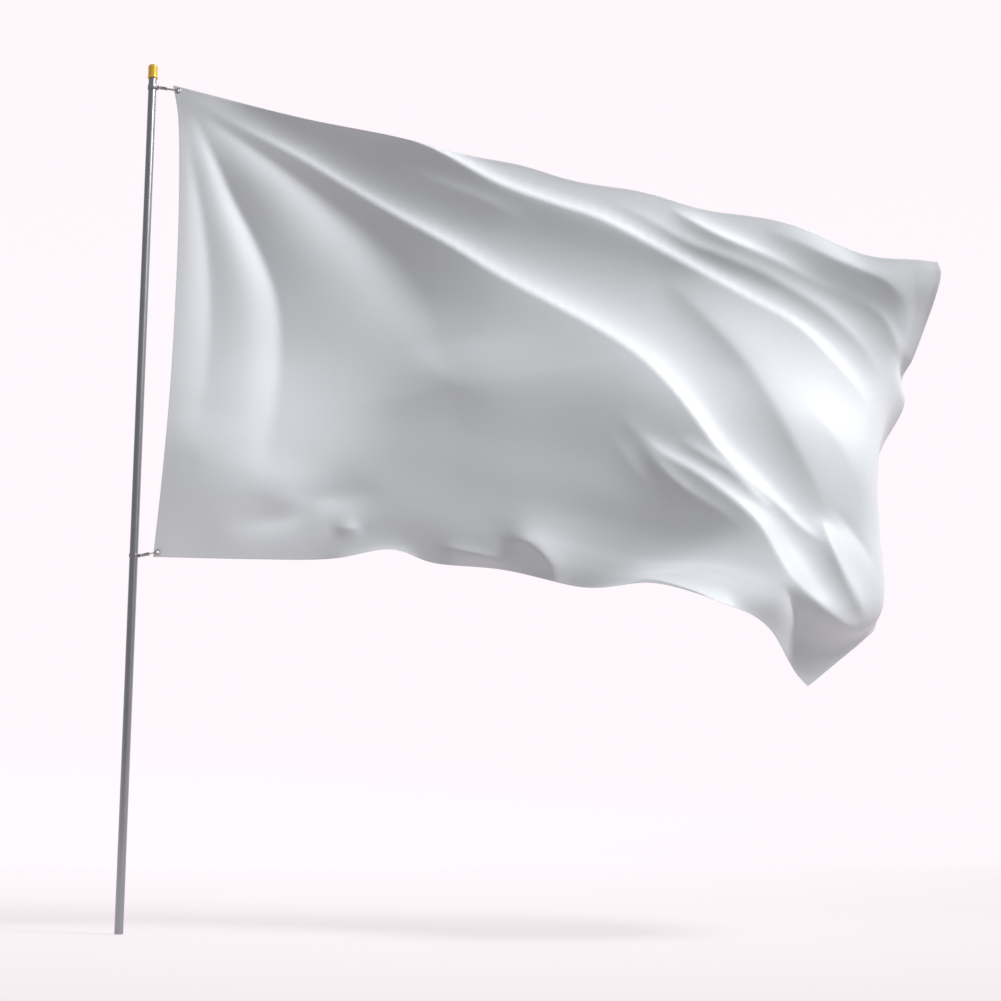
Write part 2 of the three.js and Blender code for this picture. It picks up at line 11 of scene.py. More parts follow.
import bpy
import numpy as np
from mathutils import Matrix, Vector


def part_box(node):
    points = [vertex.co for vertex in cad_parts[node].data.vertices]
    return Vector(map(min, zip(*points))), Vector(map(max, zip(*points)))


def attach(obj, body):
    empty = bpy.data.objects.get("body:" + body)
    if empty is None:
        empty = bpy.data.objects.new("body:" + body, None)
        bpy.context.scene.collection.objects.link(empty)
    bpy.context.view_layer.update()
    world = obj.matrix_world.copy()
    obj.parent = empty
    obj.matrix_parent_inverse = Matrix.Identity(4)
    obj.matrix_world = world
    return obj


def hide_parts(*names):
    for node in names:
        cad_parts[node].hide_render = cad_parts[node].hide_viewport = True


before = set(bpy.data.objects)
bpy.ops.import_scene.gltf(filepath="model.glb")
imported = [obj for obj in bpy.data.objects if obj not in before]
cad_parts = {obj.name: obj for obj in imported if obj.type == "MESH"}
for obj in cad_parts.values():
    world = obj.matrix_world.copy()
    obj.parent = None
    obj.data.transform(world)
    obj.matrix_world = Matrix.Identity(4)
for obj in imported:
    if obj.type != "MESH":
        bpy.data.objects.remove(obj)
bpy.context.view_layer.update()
MM = 0.001
print("nodes in the frame:", ", ".join(sorted(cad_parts)))

# %% [markdown]
# The camera stands low and a little to the pole's side of the middle, and looks slightly up, so
# the pole leans on the image and the floor's edge is out of sight. A long lens keeps that mild.

# %% Camera
CAMERA_DISTANCE = 4.737
SIDE_SHARE = 0.2313
HEIGHT_SHARE = 0.0921
CAMERA_PLACE = Vector((SIDE_SHARE * CAMERA_DISTANCE, -CAMERA_DISTANCE, HEIGHT_SHARE * CAMERA_DISTANCE))
CAMERA_TILT = math.radians(9.9)
LENS_PIXELS = 1600
IMAGE_PIXELS = 1001
SENSOR_MM = 36
FARTHEST_SEEN = 100

camera_data = bpy.data.cameras.new("view")
camera_data.sensor_width = SENSOR_MM
camera_data.lens = camera_data.sensor_width * LENS_PIXELS / IMAGE_PIXELS
camera_data.clip_end = FARTHEST_SEEN
camera = bpy.data.objects.new("view", camera_data)
camera.location = CAMERA_PLACE
camera.rotation_euler = (math.pi / 2 + CAMERA_TILT, 0, 0)
bpy.context.scene.collection.objects.link(camera)
bpy.context.scene.camera = camera
print("lens", round(camera_data.lens, 1), "mm")

# %% [markdown]
# A material is a graph of nodes, and long chains of Math nodes are hard to read. A small class
# that wraps one socket and overloads the operators lets the graph be written as an expression,
# such as `0.36 + clouding * 0.12`. Every other node comes from one method.


# %% Shader expressions
class Wire:
    """One output socket, with arithmetic that adds Math nodes."""

    def __init__(self, tree, socket):
        self.tree = tree
        self.socket = socket

    def node(self, kind, settings, **inputs):
        """A new node. Inputs are named, or numbered as in _0, and take wires or constants."""
        made = self.tree.nodes.new(kind)
        for name, value in settings.items():
            if name == "stops":
                ramp = made.color_ramp
                while len(ramp.elements) < len(value):
                    ramp.elements.new(0.5)
                for element, (place, shade) in zip(ramp.elements, value):
                    element.position = place
                    element.color = (shade, shade, shade, 1)
            else:
                setattr(made, name, value)
        for name, value in inputs.items():
            socket = made.inputs[int(name[1:])] if name[0] == "_" else made.inputs[name.replace("_", " ")]
            if isinstance(value, Wire):
                self.tree.links.new(value.socket, socket)
            else:
                socket.default_value = value
        return made

    def out(self, made, name=0):
        return Wire(self.tree, made.outputs[name])

    def math(self, operation, *values):
        inputs = {f"_{i}": value for i, value in enumerate(values)}
        return self.out(self.node("ShaderNodeMath", {"operation": operation}, **inputs))

    def __add__(self, other):
        return self.math("ADD", self, other)

    def __radd__(self, other):
        return self.math("ADD", other, self)

    def __mul__(self, other):
        return self.math("MULTIPLY", self, other)

    def __rmul__(self, other):
        return self.math("MULTIPLY", other, self)

    def scaled(self, factors):
        made = self.node("ShaderNodeVectorMath", {"operation": "MULTIPLY"}, _0=self, _1=factors)
        return self.out(made)

    def noise(self, scale, detail):
        return self.out(self.node("ShaderNodeTexNoise", {}, Vector=self, Scale=scale, Detail=detail), "Fac")

    def ramp(self, *stops):
        return self.out(self.node("ShaderNodeValToRGB", {"stops": stops}, Fac=self))

    def between(self, dark, light):
        made = self.node("ShaderNodeMix", {"data_type": "RGBA"}, _0=self, _6=(*dark, 1), _7=(*light, 1))
        return self.out(made, 2)

    def bump(self, distance, strength):
        return self.out(self.node("ShaderNodeBump", {}, Height=self, Distance=distance, Strength=strength))


def new_material(name, **constants):
    """A material with a plain shader, its constants set on its own sockets."""
    made = bpy.data.materials.new(name)
    made.use_nodes = True
    shader = made.node_tree.nodes["Principled BSDF"]
    for socket, value in constants.items():
        shader.inputs[socket.replace("_", " ")].default_value = value
    return made, shader


def coordinates(material, kind="Object"):
    """Where a point is on the piece, for the textures of its material."""
    tree = material.node_tree
    return Wire(tree, tree.nodes.new("ShaderNodeTexCoord").outputs[kind])


def feed(material, shader, **wires):
    """The uneven parts of a finish, linked to the shader's sockets."""
    for socket, wire in wires.items():
        material.node_tree.links.new(wire.socket, shader.inputs[socket.replace("_", " ")])


print("shader helpers ready")

# %% [markdown]
# The cloth's shape is worked out, not sculpted: a sheet is stretched between its four edges and one
# line near the fly where it turns away from the viewer. It could also be draped by a simulation,
# but wind doesn't repeat itself, and this flag has to fly as this one does. So an edge is a smooth
# curve through a few points, whose parameter is the share of its length, which keeps the weave
# even along it.

# %% The flag's edges
FLAG_LENGTH = 2.5
FLAG_DROP = 1.5
TURN_SHARE = 0.92  # how far along the cloth it turns away

# Places in X, Y and Z. The top edge, the hoist and the lower edge meet at the corners.
TOP_EDGE = [
    (0.065, 0, 2.590), (0.475, 0, 2.480), (0.790, -0.015, 2.408), (0.980, -0.010, 2.355),
    (1.180, 0, 2.320), (1.280, 0, 2.283), (1.380, 0, 2.260), (1.530, 0, 2.239),
    (1.630, 0, 2.208), (1.730, 0, 2.175), (1.905, 0, 2.152), (2.010, 0, 2.127),
    (2.105, 0, 2.085), (2.190, -0.010, 2.037), (2.261, -0.035, 2.006), (2.338, -0.055, 2.001),
    (2.427, -0.060, 1.990),
]
BOTTOM_EDGE = [
    (0.058, 0, 1.092), (0.375, 0.025, 1.088), (0.600, 0.020, 1.089), (0.750, -0.005, 1.117),
    (0.810, -0.015, 1.110), (0.870, -0.030, 1.072), (1.095, -0.070, 1.046), (1.225, -0.110, 1.011),
    (1.345, -0.150, 0.979), (1.445, -0.190, 0.984), (1.515, -0.220, 0.991), (1.640, -0.270, 0.954),
    (1.725, -0.300, 0.916), (1.806, -0.310, 0.884), (1.864, -0.300, 0.826), (1.897, -0.300, 0.744),
    (1.944, -0.300, 0.690),
]
HOIST_LINE = [
    (0.065, 0, 2.590), (0.085, -0.005, 2.490), (0.099, -0.025, 2.305), (0.105, -0.035, 2.044),
    (0.098, -0.030, 1.650), (0.080, -0.015, 1.350), (0.058, 0, 1.092),
]
TURN_LINE = [
    (2.231, -0.024, 2.018), (2.308, -0.060, 1.870), (2.300, -0.070, 1.757), (2.273, -0.090, 1.644),
    (2.237, -0.130, 1.512), (2.205, -0.200, 1.330), (2.191, -0.260, 1.106), (2.184, -0.300, 0.989),
    (2.165, -0.320, 0.909), (2.110, -0.330, 0.860), (2.030, -0.330, 0.845), (1.950, -0.320, 0.842),
    (1.860, -0.301, 0.832),
]
FLY_LINE = [
    (2.427, -0.060, 1.990), (2.436, -0.060, 1.955), (2.422, -0.055, 1.895), (2.390, -0.035, 1.802),
    (2.348, -0.010, 1.692), (2.324, 0.020, 1.645), (2.330, 0.030, 1.566), (2.263, 0.060, 1.437),
    (2.216, 0.090, 1.311), (2.186, 0.090, 1.156), (2.176, 0.040, 1.028), (2.173, -0.060, 0.927),
    (2.169, -0.170, 0.869), (2.118, -0.250, 0.826), (2.020, -0.290, 0.750), (1.944, -0.300, 0.690),
]


def smooth_curve(rows):
    """A smooth curve through the rows, as a function of the share of its length."""
    points = np.array(rows, float)
    steps = np.linalg.norm(np.diff(points, axis=0), axis=1)
    knots = np.concatenate([[0], np.cumsum(steps)]) / steps.sum()
    before = np.maximum(np.arange(len(points)) - 1, 0)
    after = np.minimum(np.arange(len(points)) + 1, len(points) - 1)
    slopes = (points[after] - points[before]) / (knots[after] - knots[before])[:, None]

    def at(share):
        share = np.asarray(share, float)
        i = np.clip(np.searchsorted(knots, share, side="right") - 1, 0, len(knots) - 2)
        span = (knots[i + 1] - knots[i])[..., None]
        s = (share - knots[i])[..., None] / span
        start = 2 * s**3 - 3 * s**2 + 1
        return (start * points[i] + (s**3 - 2 * s**2 + s) * span * slopes[i]
                + (1 - start) * points[i + 1] + (s**3 - s**2) * span * slopes[i + 1])

    return at


top_edge = smooth_curve(TOP_EDGE)
bottom_edge = smooth_curve(BOTTOM_EDGE)
LINES = [
    (0, smooth_curve(HOIST_LINE)),
    (TURN_SHARE, smooth_curve(TURN_LINE)),
    (1, smooth_curve(FLY_LINE)),
]


def stretched(along, down):
    """The sheet between its edges and lines, for shares along and down the cloth."""
    down_share = down[:, None, None]
    to_turn = np.minimum(along / TURN_SHARE, 1)
    past_turn = np.maximum((along - TURN_SHARE) / (1 - TURN_SHARE), 0)
    weights = (1 - to_turn, to_turn - past_turn, past_turn)
    points = top_edge(along)[None] * (1 - down_share) + bottom_edge(along)[None] * down_share
    for weight, (share, line) in zip(weights, LINES):
        straight = top_edge(share) * (1 - down_share) + bottom_edge(share) * down_share
        points = points + weight[None, :, None] * (line(down)[:, None] - straight)
    return points


AVERAGE_REACH = 0.035  # a share of the cloth's length
AVERAGE_STEPS = 4


def softened(along, down):
    """The same, averaged over a short way along the cloth, so that no line shows as a crease."""
    reach = np.minimum(AVERAGE_REACH, np.minimum(along, 1 - along))
    total = 0
    points = 0
    for k in range(-AVERAGE_STEPS, AVERAGE_STEPS + 1):
        weight = AVERAGE_STEPS + 1 - abs(k)
        points = points + weight * stretched(np.clip(along + reach * k / AVERAGE_STEPS, 0, 1), down)
        total += weight
    return points / total


print("top edge from", TOP_EDGE[0], "to", TOP_EDGE[-1])

# %% [markdown]
# On top of that sheet come broad billows and the folds. A taut fold in satin is nearly a ridge with
# hollow flanks, so its height falls away from the crest like exp(-distance / width), rounded at
# the top, with its own width on each side. Most folds start at the upper eyelet, which carries the
# weight, and grow wider and higher towards the lower fly corner. Every crest is placed one by one,
# and the cloth moves along the viewer's line of sight, so a fold keeps its place in the picture.

# %% Billows and folds
# Along, down, reach along, reach down, push away from the viewer
BILLOWS = [
    (0.650, 0.750, 0.550, 0.600, 0.045),
    (1.850, 0.850, 0.420, 0.420, -0.050),
    (2.200, 0.000, 0.400, 0.300, -0.060),
    (0.950, 1.050, 0.400, 0.450, 0.030),
    (2.050, 1.500, 0.600, 0.380, -0.035),
]

# The crest that runs from the upper eyelet to the lower fly corner, which two folds share
MIDDLE_LINE = [
    (0.120, 2.550), (0.200, 2.495), (0.285, 2.446), (0.470, 2.345), (0.625, 2.245), (0.785, 2.145),
    (0.940, 2.055), (1.095, 1.955), (1.245, 1.870), (1.395, 1.780), (1.512, 1.692), (1.600, 1.591),
    (1.674, 1.478), (1.725, 1.393), (1.805, 1.298), (1.880, 1.218), (1.930, 1.145), (1.965, 1.090),
]

# Each fold has its crest's way in X and Z, the rise along it, the width above and below it at its
# start and end, and how round its top is. A negative rise is a groove.
FOLDS = {
    "upper tension line": dict(
        crest=[(0.165, 2.570), (0.465, 2.485), (0.780, 2.415), (0.905, 2.365), (1.095, 2.260),
               (1.280, 2.190), (1.405, 2.145), (1.555, 2.060), (1.705, 1.970), (1.850, 1.880),
               (1.995, 1.785), (2.105, 1.655), (2.175, 1.535), (2.185, 1.420)],
        rise=[0, 0.015, 0.021, 0.027, 0.028, 0.028, 0.024, 0.016, 0.012, 0],
        above=(0.018, 0.024), below=(0.040, 0.240), roundness=0.15),
    "middle tension line": dict(
        crest=MIDDLE_LINE,
        rise=[0, 0.010, 0.018, 0.024, 0.028, 0.034, 0.044, 0.050, 0.036, 0],
        above=(0.048, 0.078), below=(0.300, 1.100), roundness=0.12),
    "sharp top of the middle line": dict(
        crest=MIDDLE_LINE,
        rise=[0, 0.007, 0.013, 0.017, 0.019, 0.020, 0.020, 0.018, 0],
        above=(0.020, 0.024), below=(0.450, 0.800), roundness=0.15),
    "lower fold to the corner": dict(
        crest=[(1.505, 1.450), (1.560, 1.390), (1.670, 1.315), (1.775, 1.220), (1.835, 1.150),
               (1.875, 1.065), (1.925, 0.970), (2.005, 0.890), (2.075, 0.835)],
        rise=[0, 0.020, 0.030, 0.042, 0.062, 0.066, 0.054, 0.034],
        above=(0.020, 0.055), below=(0.400, 0.700), roundness=0.15),
    "thin fold beside the corner fold": dict(
        crest=[(1.500, 1.425), (1.555, 1.345), (1.640, 1.265), (1.745, 1.180), (1.790, 1.130)],
        rise=[0, 0.003, 0.004, 0.003, 0],
        above=(0.015, 0.015), below=(0.020, 0.020), roundness=0.4),
    "soft swell of the billow": dict(
        crest=[(1.580, 1.965), (1.725, 1.820), (1.835, 1.675), (1.890, 1.565), (1.932, 1.465),
               (1.982, 1.340), (2.015, 1.245), (2.035, 1.130)],
        rise=[0, 0.016, 0.028, 0.032, 0.034, 0.030, 0.018, 0],
        above=(0.150, 0.260), below=(0.080, 0.080), roundness=0.25),
    "small fold beside the corner fold": dict(
        crest=[(2.000, 1.180), (2.030, 1.080), (2.065, 0.980), (2.095, 0.905), (2.105, 0.845)],
        rise=[0, 0.024, 0.030, 0.024, 0],
        above=(0.020, 0.028), below=(0.050, 0.060), roundness=0.25),
    "crease into the lower corner": dict(
        crest=[(1.880, 0.985), (1.905, 0.910), (1.915, 0.845), (1.900, 0.750)],
        rise=[0, -0.036, -0.048, -0.036],
        above=(0.110, 0.110), below=(0.028, 0.028), roundness=0.2),
    "fold behind the upper line": dict(
        crest=[(1.605, 2.188), (1.680, 2.145), (1.770, 2.092), (1.860, 2.048), (1.945, 2.003),
               (2.065, 1.930), (2.155, 1.890), (2.245, 1.830), (2.285, 1.755), (2.305, 1.665),
               (2.310, 1.575)],
        rise=[0, 0.020, 0.026, 0.014, 0.006, 0.002, 0.002, 0.006, 0.006, 0],
        above=(0.020, 0.026), below=(0.080, 0.060), roundness=0.2),
    "mild fold behind the upper line": dict(
        crest=[(1.375, 2.230), (1.465, 2.190), (1.555, 2.140), (1.675, 2.065), (1.765, 2.025),
               (1.885, 1.970), (2.005, 1.895), (2.090, 1.830), (2.175, 1.735), (2.220, 1.640),
               (2.215, 1.540)],
        rise=[0, 0.008, 0.008, 0.008, 0],
        above=(0.025, 0.030), below=(0.035, 0.040), roundness=0.4),
    "fold under the upper fly corner": dict(
        crest=[(1.895, 2.120), (2.015, 2.070), (2.110, 2.020), (2.185, 1.985), (2.260, 1.945),
               (2.310, 1.890), (2.335, 1.830)],
        rise=[0, 0.006, 0.012, 0.018, 0.018, 0.010, 0],
        above=(0.070, 0.080), below=(0.070, 0.080), roundness=0.15),
    "groove beside the hoist": dict(
        crest=[(0.105, 2.500), (0.125, 2.395), (0.152, 2.270), (0.178, 2.150), (0.205, 1.990),
               (0.218, 1.830), (0.218, 1.700), (0.205, 1.560), (0.165, 1.400)],
        rise=[0, -0.006, -0.026, -0.046, -0.056, -0.050, -0.028, 0],
        above=(0.060, 0.500), below=(0.015, 0.090), roundness=0.5),
    "second groove from the upper eyelet": dict(
        crest=[(0.110, 2.535), (0.155, 2.455), (0.205, 2.350), (0.270, 2.210), (0.345, 2.065),
               (0.405, 1.925), (0.430, 1.800), (0.435, 1.680), (0.430, 1.580), (0.415, 1.460),
               (0.380, 1.280)],
        rise=[0, -0.016, -0.042, -0.064, -0.075, -0.078, -0.074, -0.055, -0.028, 0],
        above=(0.120, 1.100), below=(0.018, 0.085), roundness=0.8),
    "third groove from the upper eyelet": dict(
        crest=[(0.130, 2.535), (0.185, 2.480), (0.305, 2.395), (0.455, 2.290), (0.590, 2.190),
               (0.715, 2.090), (0.820, 1.970), (0.895, 1.840), (0.930, 1.700), (0.945, 1.600)],
        rise=[0, -0.016, -0.042, -0.072, -0.096, -0.102, -0.088, -0.050, 0],
        above=(0.200, 2.400), below=(0.022, 0.190), roundness=0.8),
    "shallow dip above the lower hem": dict(
        crest=[(0.240, 1.175), (0.370, 1.200), (0.475, 1.220), (0.535, 1.260), (0.625, 1.275),
               (0.765, 1.295)],
        rise=[0, -0.018, -0.018, 0],
        above=(0.060, 0.070), below=(0.040, 0.045), roundness=0.6),
    "dent above the lower hem": dict(
        crest=[(0.580, 1.180), (0.635, 1.178), (0.690, 1.172)],
        rise=[0, 0.010, 0],
        above=(0.030, 0.030), below=(0.020, 0.020), roundness=0.5),
    "left flare of the lower hem": dict(
        crest=[(0.560, 1.075), (0.690, 1.095), (0.760, 1.100), (0.810, 1.090), (0.870, 1.050)],
        rise=[0, 0.016, 0.024, 0.016, 0],
        above=(0.025, 0.025), below=(0.025, 0.025), roundness=0.3),
    "under-turn of the lower hem": dict(
        crest=[(0.880, 1.060), (1.000, 1.045), (1.100, 1.025), (1.220, 0.990)],
        rise=[0, -0.024, -0.026, 0],
        above=(0.030, 0.030), below=(0.030, 0.030), roundness=0.3),
    "small pucker at the lower hem": dict(
        crest=[(1.095, 1.120), (1.165, 1.125), (1.210, 1.095), (1.240, 1.050), (1.250, 1.005)],
        rise=[0, 0.024, 0.030, 0.024],
        above=(0.050, 0.060), below=(0.035, 0.040), roundness=0.4),
    "right flare of the lower hem": dict(
        crest=[(1.300, 0.950), (1.390, 0.945), (1.460, 0.958), (1.520, 0.965), (1.635, 0.935),
               (1.712, 0.888), (1.775, 0.850), (1.825, 0.800), (1.862, 0.735)],
        rise=[0, 0.018, 0.034, 0.050, 0.060, 0.062, 0.058, 0.048, 0.024],
        above=(0.035, 0.090), below=(0.080, 0.080), roundness=0.1),
    "first bump beside the corner fold": dict(
        crest=[(1.600, 1.440), (1.690, 1.375), (1.765, 1.320), (1.830, 1.240), (1.885, 1.175)],
        rise=[0, 0.008, 0.011, 0.009, 0],
        above=(0.018, 0.018), below=(0.040, 0.040), roundness=0.3),
    "wrinkle under the middle line": dict(
        crest=[(1.430, 1.530), (1.510, 1.430), (1.590, 1.310), (1.690, 1.190)],
        rise=[0, 0.006, 0.006, 0],
        above=(0.030, 0.030), below=(0.040, 0.040), roundness=0.5),
    "second wrinkle under the middle line": dict(
        crest=[(1.400, 1.480), (1.480, 1.350), (1.570, 1.220)],
        rise=[0, 0.004, 0],
        above=(0.030, 0.030), below=(0.040, 0.040), roundness=0.5),
    "faint line under the upper line": dict(
        crest=[(0.740, 2.345), (0.870, 2.275), (1.040, 2.205), (1.200, 2.120)],
        rise=[0, 0.004, 0.004, 0],
        above=(0.025, 0.025), below=(0.060, 0.060), roundness=0.4),
    "roll of the under-turned hem": dict(
        crest=[(0.900, 1.120), (0.965, 1.105), (1.045, 1.085), (1.135, 1.060)],
        rise=[0, 0.010, 0.010, 0],
        above=(0.020, 0.020), below=(0.025, 0.025), roundness=0.4),
    "groove beside the small fold": dict(
        crest=[(2.030, 1.215), (2.085, 1.130), (2.130, 1.050), (2.150, 0.970)],
        rise=[0, -0.008, -0.008, 0],
        above=(0.030, 0.030), below=(0.030, 0.030), roundness=0.4),
    "bright rim of the right flare": dict(
        crest=[(1.330, 0.965), (1.440, 0.982), (1.515, 0.998), (1.635, 0.961), (1.715, 0.918),
               (1.780, 0.885)],
        rise=[0, 0.006, 0.014, 0.020, 0.024, 0],
        above=(0.016, 0.030), below=(0.030, 0.030), roundness=0.1),
    "last run of the middle line": dict(
        crest=[(1.850, 1.250), (1.905, 1.195), (1.945, 1.145), (1.985, 1.110), (2.025, 1.090)],
        rise=[0, 0.006, 0.007, 0],
        above=(0.014, 0.014), below=(0.030, 0.030), roundness=0.2),
    "second swell of the billow": dict(
        crest=[(1.960, 1.560), (2.050, 1.450), (2.110, 1.330), (2.140, 1.200)],
        rise=[0, 0.005, 0.005, 0],
        above=(0.040, 0.050), below=(0.050, 0.050), roundness=0.4),
}
CREST_STEPS = 60
BLEND_START = 0.004  # how much farther a part of the crest may be and still count, on the crest
BLEND_SHARE = 0.2  # how much that grows with the distance from the crest
TINY = 1e-9


def spread(values, share):
    """Values that stand evenly along a fold, joined smoothly and level at both ends."""
    last = len(values) - 1
    row = np.array([values[1], *values, values[-2]], float)
    place = np.asarray(share) * last
    i = np.clip(place.astype(int), 0, last - 1)
    s = place - i
    from_start = 2 * s**3 - 3 * s**2 + 1
    return (from_start * row[i + 1] + (s**3 - 2 * s**2 + s) * (row[i + 2] - row[i]) / 2
            + (1 - from_start) * row[i + 2] + (s**3 - s**2) * (row[i + 3] - row[i + 1]) / 2)


def fold_rise(points, crest, rise, above, below, roundness):
    """How far one fold stands out at each point of the sheet."""
    x, z = points[..., 0], points[..., 2]
    way = smooth_curve(crest)(np.linspace(0, 1, CREST_STEPS))
    distances = []
    places = []
    nearest = np.full(x.shape, np.inf)
    side = np.zeros(x.shape)
    for i in range(CREST_STEPS - 1):
        step_x, step_z = way[i + 1] - way[i]
        from_x, from_z = x - way[i, 0], z - way[i, 1]
        share = np.clip((from_x * step_x + from_z * step_z) / (step_x**2 + step_z**2), 0, 1)
        distance = np.hypot(from_x - share * step_x, from_z - share * step_z)
        distances.append(distance)
        places.append((i + share) / (CREST_STEPS - 1))
        across = (step_x * from_z - step_z * from_x) / np.hypot(step_x, step_z)
        # Beyond the crest's ends the two sides run into each other
        beyond = (share == 0) & (i == 0) | (share == 1) & (i == CREST_STEPS - 2)
        leaning = np.where(beyond, across / (distance + TINY), np.sign(across))
        side = np.where(distance < nearest, leaning, side)
        nearest = np.minimum(nearest, distance)
    # Inside a bend many parts of the crest are about as near, so their places are averaged
    weights = np.exp((nearest - distances) / (BLEND_START + BLEND_SHARE * nearest))
    weights /= weights.sum(axis=0)
    place = (weights * places).sum(axis=0)
    away = (weights * distances).sum(axis=0)
    width = spread(above, place) * (1 + side) / 2 + spread(below, place) * (1 - side) / 2
    fall = np.hypot(away / width, roundness) - roundness
    return spread(rise, place) * np.exp(-fall)


EYELET_INSET = 0.015
EYELETS = {"upper": EYELET_INSET, "lower": FLAG_DROP - EYELET_INSET}
CALM_REACH = 0.090  # round an eyelet, where the clamped cloth lies flat
VIEWER = np.array(CAMERA_PLACE).round(3)  # to the millimetre


def from_eyelet(along, down, name):
    """Distances on the flat cloth from one eyelet's centre."""
    return np.hypot(along - EYELET_INSET, down - EYELETS[name])


def cloth_points(along, down):
    """Points of the flying cloth, for lists of distances along and down the flat cloth."""
    points = softened(along / FLAG_LENGTH, down / FLAG_DROP)
    push = np.zeros(points.shape[:2])
    for centre_along, centre_down, reach_along, reach_down, depth in BILLOWS:
        across = (along[None, :] - centre_along) / reach_along
        below = (down[:, None] - centre_down) / reach_down
        push += depth * np.exp(-across**2 - below**2)
    for fold in FOLDS.values():
        push -= fold_rise(points, **fold)
    for name in EYELETS:
        distance = from_eyelet(along[None, :], down[:, None], name)
        push *= 1 - np.exp(-((distance / CALM_REACH) ** 2))
    sight = points - VIEWER
    return points + push[..., None] * sight / sight[..., 1:2]


print(len(FOLDS), "folds and", len(BILLOWS), "billows")

# %% [markdown]
# The sheet is a grid of quads that stand closer together at the hoist corners, where the eyelets
# are, and towards the fly, where the folds are tightest. The hem is the same cloth turned over
# and sewn, so there the sheet is simply thicker. Front and back are two skins joined at the rim.

# %% Grid lines of the sheet
HEM_WIDTH = 0.012
HEM_STEP = 0.002  # the short way over which the hem's doubled cloth ends
RIM_WIDTH = 0.0012  # how much of the folded edge is rounded
CORNER_LINES = [0, RIM_WIDTH, 0.004, 0.007, HEM_WIDTH - HEM_STEP, HEM_WIDTH,
                0.0145, 0.017, 0.020, 0.023, 0.027, 0.034]
HEM_LINES = [0, RIM_WIDTH, 0.006, HEM_WIDTH - HEM_STEP, HEM_WIDTH, 0.018]
FIELD_COLUMNS = 262
FIELD_ROWS = 146
COLUMN_CROWDING = 1.2  # above 1 the columns stand closer together towards the fly


def grid_lines(length, count, start, end, crowding=1.0):
    """Distances from one edge to the other, with the listed lines near each edge."""
    even = np.linspace(0, 1, count + 2)[1:-1]
    crowded = 1 - (1 - even) ** crowding
    field = start[-1] + (length - start[-1] - end[-1]) * crowded
    return np.concatenate([start, field, length - np.array(end)[::-1]])


along_lines = grid_lines(FLAG_LENGTH, FIELD_COLUMNS, CORNER_LINES, HEM_LINES, COLUMN_CROWDING)
down_lines = grid_lines(FLAG_DROP, FIELD_ROWS, CORNER_LINES, CORNER_LINES)
print("grid", len(along_lines), "by", len(down_lines))

# %% [markdown]
# An eyelet clamps the cloth, so the cloth has to pass exactly through the eyelet of the frame.
# The frame fixes the eyelet's place, so it can't be moved to the cloth. Instead the cloth near it
# is shifted by the small distance that is left between the two, and the shift fades out round it.

# %% Seat the cloth in its eyelets
SEAT_REACH = 0.060
middle = cloth_points(along_lines, down_lines)
eyelet_centres = {}
for name, eyelet_down in EYELETS.items():
    low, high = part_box(f"eyelet_{name}")
    eyelet_centres[name] = (Vector(low) + Vector(high)) / 2
    own = cloth_points(np.array([EYELET_INSET]), np.array([eyelet_down]))[0, 0]
    shift = np.array(eyelet_centres[name]) - own
    distance = from_eyelet(along_lines[None, :], down_lines[:, None], name)
    middle += np.exp(-((distance / SEAT_REACH) ** 2))[..., None] * shift
    print(f"eyelet {name}: cloth moved {np.linalg.norm(shift) / MM:.2f} mm to its seat")


def grid_normals(points):
    """The direction that the front of the cloth faces at each point of the grid."""
    along_step = np.gradient(points, axis=1)
    down_step = np.gradient(points, axis=0)
    normals = np.cross(down_step, along_step)
    return normals / np.linalg.norm(normals, axis=2, keepdims=True)


normals = grid_normals(middle)

# %% [markdown]
# The eyelet holes are made in the grid itself: the quads inside the hole are dropped and the corners
# round it are drawn on to a circle, under the metal flange, so no cut leaves ragged faces.

# %% Flag mesh
HOLE_RADIUS = 0.0058
DROPPED_RADIUS = HOLE_RADIUS * 0.9  # quads with their middle nearer than this are dropped
HOLE_EDGE_REACH = EYELET_INSET * 0.8  # rim corners nearer than this lie round a hole
SHARP_ANGLE = math.radians(50)
CLOTH_HALF = 0.0004
HEM_HALF = 0.0006
HEM_EDGE_HALF = 0.0005


def hole_distance(along, down):
    """Distances on the flat cloth from the nearer eyelet's centre."""
    return np.minimum(from_eyelet(along, down, "upper"), from_eyelet(along, down, "lower"))


def link(name, vertices, faces, smooth=True):
    """A mesh object from plain lists."""
    mesh = bpy.data.meshes.new(name)
    mesh.from_pydata([tuple(v) for v in vertices], [], faces)
    mesh.update()
    if smooth:
        mesh.shade_smooth()
        mesh.set_sharp_from_angle(angle=SHARP_ANGLE)
    made = bpy.data.objects.new(name, mesh)
    bpy.context.scene.collection.objects.link(made)
    return made


def sheet_faces(columns, rows, kept):
    """The quads of a grid that are kept, as lists of four corners."""
    corner = np.arange(rows - 1)[:, None] * columns + np.arange(columns - 1)[None, :]
    quads = np.stack([corner, corner + columns, corner + columns + 1, corner + 1], axis=-1)
    return quads[kept].tolist()


columns, rows = len(along_lines), len(down_lines)
flat_along = np.broadcast_to(along_lines[None, :], (rows, columns))
flat_down = np.broadcast_to(down_lines[:, None], (rows, columns))
quad_along = (along_lines[1:] + along_lines[:-1])[None, :] / 2
quad_down = (down_lines[1:] + down_lines[:-1])[:, None] / 2
kept = hole_distance(quad_along, quad_down) > DROPPED_RADIUS
front_faces = sheet_faces(columns, rows, kept)

# An edge that no face uses in the other direction is on the rim. A dictionary keeps their order
edges = {}
for a, b, c, d in front_faces:
    edges.update(dict.fromkeys([(a, b), (b, c), (c, d), (d, a)]))
rim = [(start, end) for start, end in edges if (end, start) not in edges]

